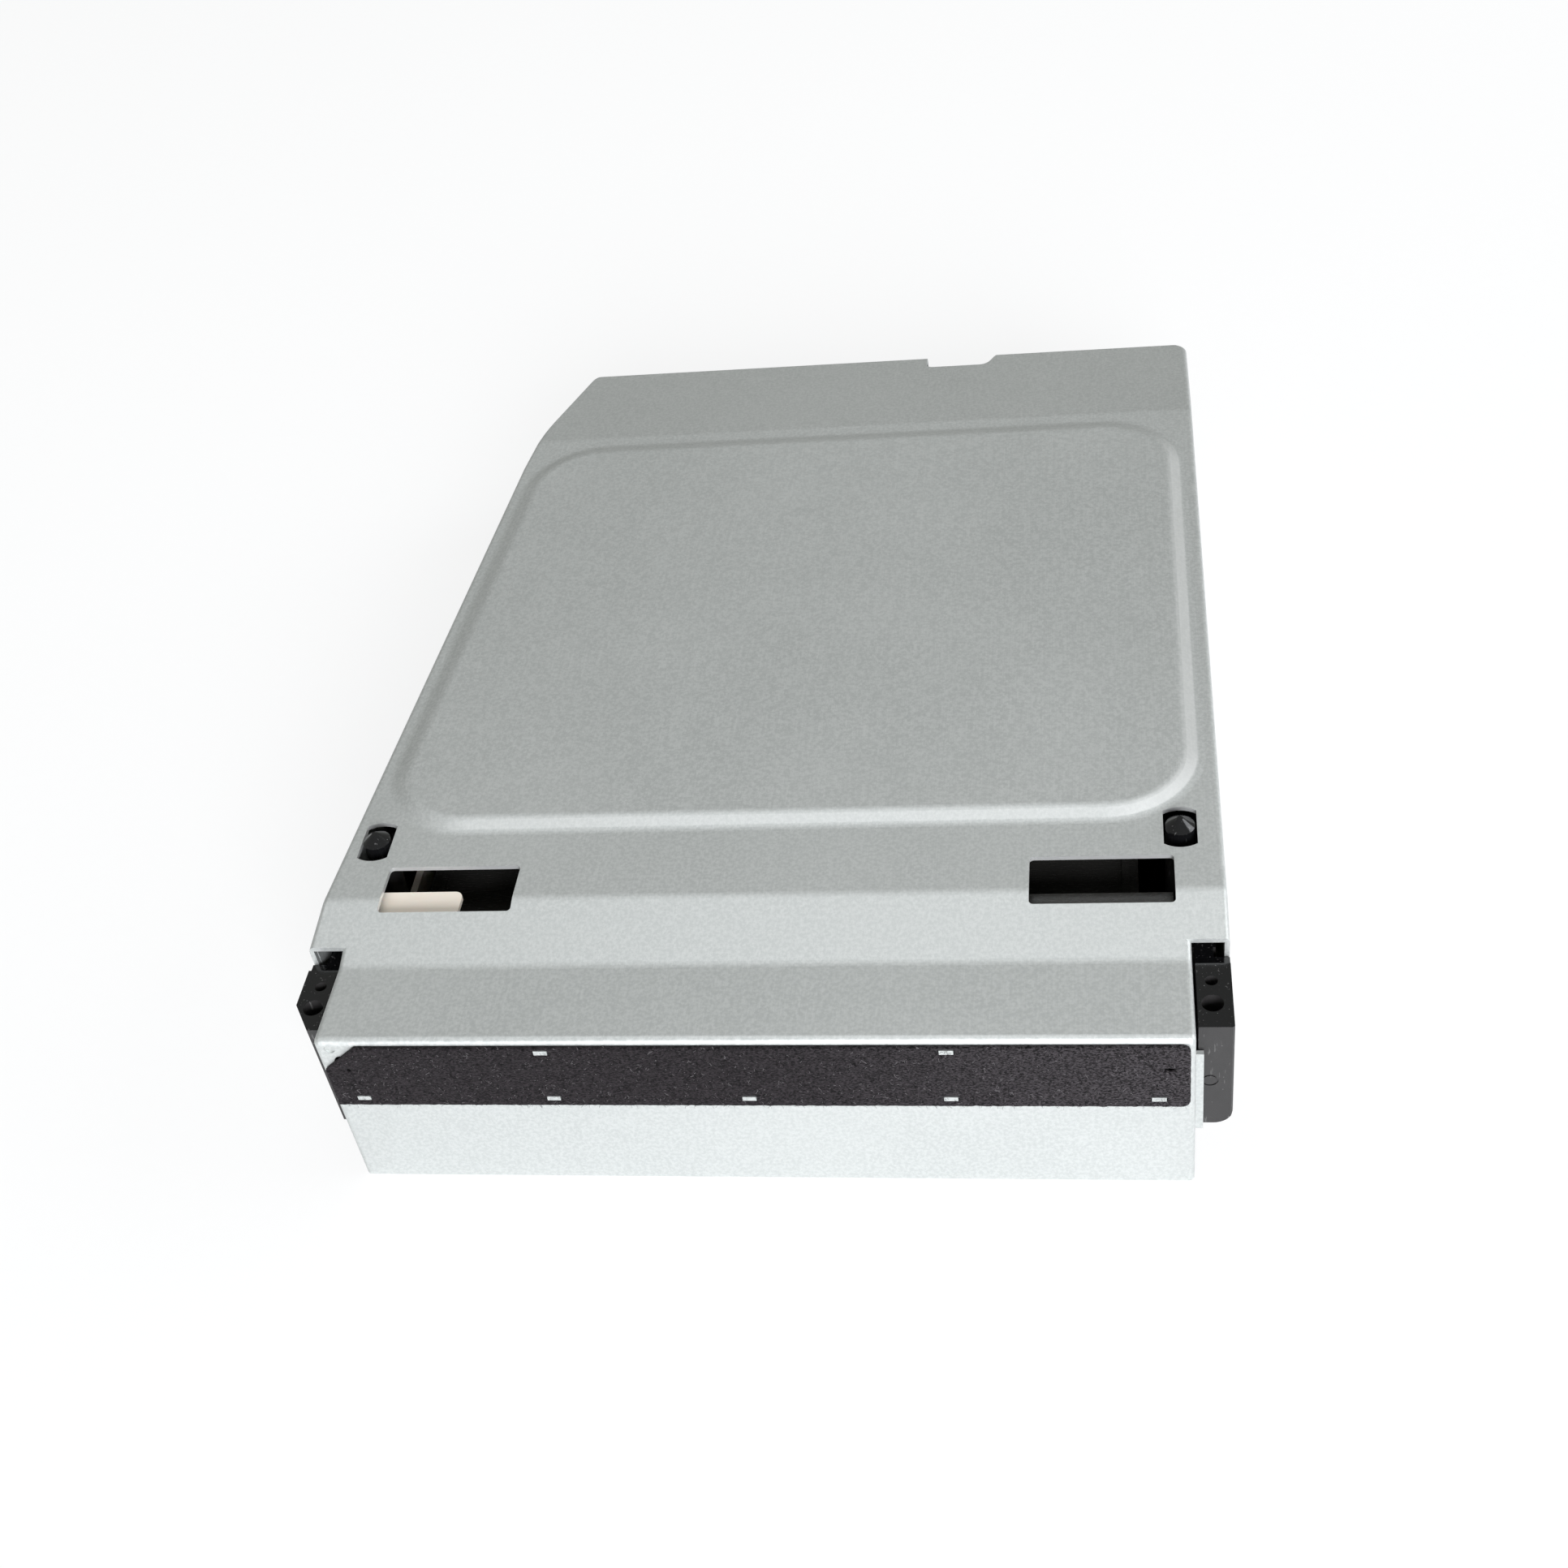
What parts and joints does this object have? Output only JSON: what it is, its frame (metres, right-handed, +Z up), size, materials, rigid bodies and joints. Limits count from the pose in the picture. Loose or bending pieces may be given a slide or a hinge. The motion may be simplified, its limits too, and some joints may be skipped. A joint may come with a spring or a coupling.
{
  "type": "slot-loading optical disc drive",
  "caption": "Slim steel slot-loading disc drive with felt-covered slot, mounting ears, roller feed, cam slider, hinged deck with spindle and pickup, and clamp arm.",
  "frame": {"origin": "middle of the bounding box on the underside of the bottom tray", "axes": "+X to the right seen from the front, +Y from the disc slot to the rear, +Z up"},
  "size_m": [0.15, 0.1994, 0.0394],
  "materials": {
    "sheet_steel": "pale zinc-plated sheet, satin",
    "frame_moulding": "fine moulded texture",
    "guide_moulding": "smooth black moulding",
    "dust_felt": "black felt",
    "plated_steel": "bright plated steel",
    "bright_steel": "ground steel pin or rod",
    "cream_moulding": "smooth cream moulding",
    "black_rubber": "matt rubber",
    "cast_alloy": "die-cast, as cast",
    "rotor_plastic": "fine moulded texture",
    "board_laminate": "green coated laminate",
    "chip_resin": "moulded resin",
    "lens_glass": "coated glass",
    "magnet": "sintered, dark grey"
  },
  "bodies": {
    "chassis": {"top_cover": "sheet_steel", "bottom_cover": "sheet_steel", "chassis_frame": "frame_moulding", "tray_screws": "plated_steel", "felt_strip": "dust_felt", "upper_disc_guide": "guide_moulding", "lower_disc_guide": "guide_moulding", "disc_table": "guide_moulding", "loading_motor": "plated_steel", "drive_pin": "bright_steel", "bracket_pin": "bright_steel", "control_board": "board_laminate", "board_chips": "chip_resin", "cable_connector": "cream_moulding", "board_screws": "plated_steel", "deck_grommets": "black_rubber"},
    "deck": {"deck_plate": "plated_steel", "spindle_motor": "plated_steel", "guide_rods": "bright_steel", "rod_clamps": "rotor_plastic", "feed_motor": "plated_steel", "screw_bearing": "rotor_plastic"},
    "turntable": {"turntable": "rotor_plastic"},
    "pickup": {"pickup_sled": "cast_alloy", "lens_cover": "rotor_plastic", "screw_follower": "cream_moulding"},
    "lens": {"lens_holder": "rotor_plastic", "objective_lens": "lens_glass"},
    "feed_screw": {"lead_screw": "bright_steel"},
    "slider": {"cam_slider": "cream_moulding"},
    "bracket": {"roller_bracket": "plated_steel", "drive_belt": "black_rubber"},
    "roller": {"roller_shaft": "bright_steel", "feed_rollers": "black_rubber", "roller_pulley": "cream_moulding"},
    "drive_gear": {"drive_gear": "cream_moulding"},
    "motor_gear": {"motor_pinion": "cream_moulding"},
    "clamp_arm": {"clamp_arm": "plated_steel"},
    "clamper": {"clamper": "rotor_plastic", "clamp_magnet": "magnet", "clamp_yoke": "plated_steel"},
    "left_lever": {"left_lever": "guide_moulding"},
    "right_lever": {"right_lever": "guide_moulding"}
  },
  "joints": [
    {"name": "cam_slide", "type": "slide", "parent": "chassis", "child": "slider", "axis": [0, 1, 0], "range_m": [0, 0.008]},
    {"name": "deck_hinge", "type": "hinge", "parent": "chassis", "child": "deck", "pos_m": [0, 0.07115, 0.0176], "axis": [1, 0, 0], "range_deg": [0, 2.2]},
    {"name": "clamp_arm_hinge", "type": "hinge", "parent": "chassis", "child": "clamp_arm", "pos_m": [0, 0.07115, 0.031], "axis": [1, 0, 0], "range_deg": [-1.8, 0]},
    {"name": "bracket_swing", "type": "hinge", "parent": "chassis", "child": "bracket", "pos_m": [0, -0.07485, 0.017], "axis": [1, 0, 0], "range_deg": [-14.78, 0]},
    {"name": "roller_spin", "type": "hinge", "parent": "bracket", "child": "roller", "pos_m": [0, -0.08673, 0.0209], "axis": [1, 0, 0], "continuous": true},
    {"name": "drive_gear_spin", "type": "hinge", "parent": "chassis", "child": "drive_gear", "pos_m": [-0.0604, -0.07485, 0.017], "axis": [1, 0, 0], "continuous": true},
    {"name": "motor_gear_spin", "type": "hinge", "parent": "chassis", "child": "motor_gear", "pos_m": [-0.0604, -0.06659, 0.009], "axis": [1, 0, 0], "continuous": true},
    {"name": "turntable_spin", "type": "hinge", "parent": "deck", "child": "turntable", "pos_m": [0, -0.00385, 0.0282], "axis": [0, 0, 1], "continuous": true},
    {"name": "pickup_slide", "type": "slide", "parent": "deck", "child": "pickup", "axis": [0, 1, 0], "range_m": [0, 0.031]},
    {"name": "lens_focus", "type": "slide", "parent": "pickup", "child": "lens", "axis": [0, 0, 1], "range_m": [-0.0004, 0.0004], "stiffness_N_per_m": 50},
    {"name": "feed_screw_spin", "type": "hinge", "parent": "deck", "child": "feed_screw", "pos_m": [0.038, 0.03915, 0.012], "axis": [0, 1, 0], "continuous": true},
    {"name": "clamper_spin", "type": "hinge", "parent": "clamp_arm", "child": "clamper", "pos_m": [0, -0.00385, 0.0315], "axis": [0, 0, 1], "continuous": true},
    {"name": "left_lever_swing", "type": "hinge", "parent": "chassis", "child": "left_lever", "pos_m": [-0.0636, -0.03485, 0.031], "axis": [0, 0, 1], "range_deg": [-56, 0], "stiffness_Nm_per_rad": 0.002},
    {"name": "right_lever_swing", "type": "hinge", "parent": "chassis", "child": "right_lever", "pos_m": [0.0636, -0.03485, 0.031], "axis": [0, 0, 1], "range_deg": [0, 56], "stiffness_Nm_per_rad": 0.002}
  ],
  "couplings": [
    {"joint": "deck_hinge", "follows": "cam_slide", "rad_per_m": 4.7997},
    {"joint": "clamp_arm_hinge", "follows": "cam_slide", "rad_per_m": -3.927},
    {"joint": "bracket_swing", "follows": "cam_slide", "rad_per_m": -32.238},
    {"joint": "drive_gear_spin", "follows": "roller_spin", "ratio": 0.75556},
    {"joint": "motor_gear_spin", "follows": "roller_spin", "ratio": -2.72}
  ]
}
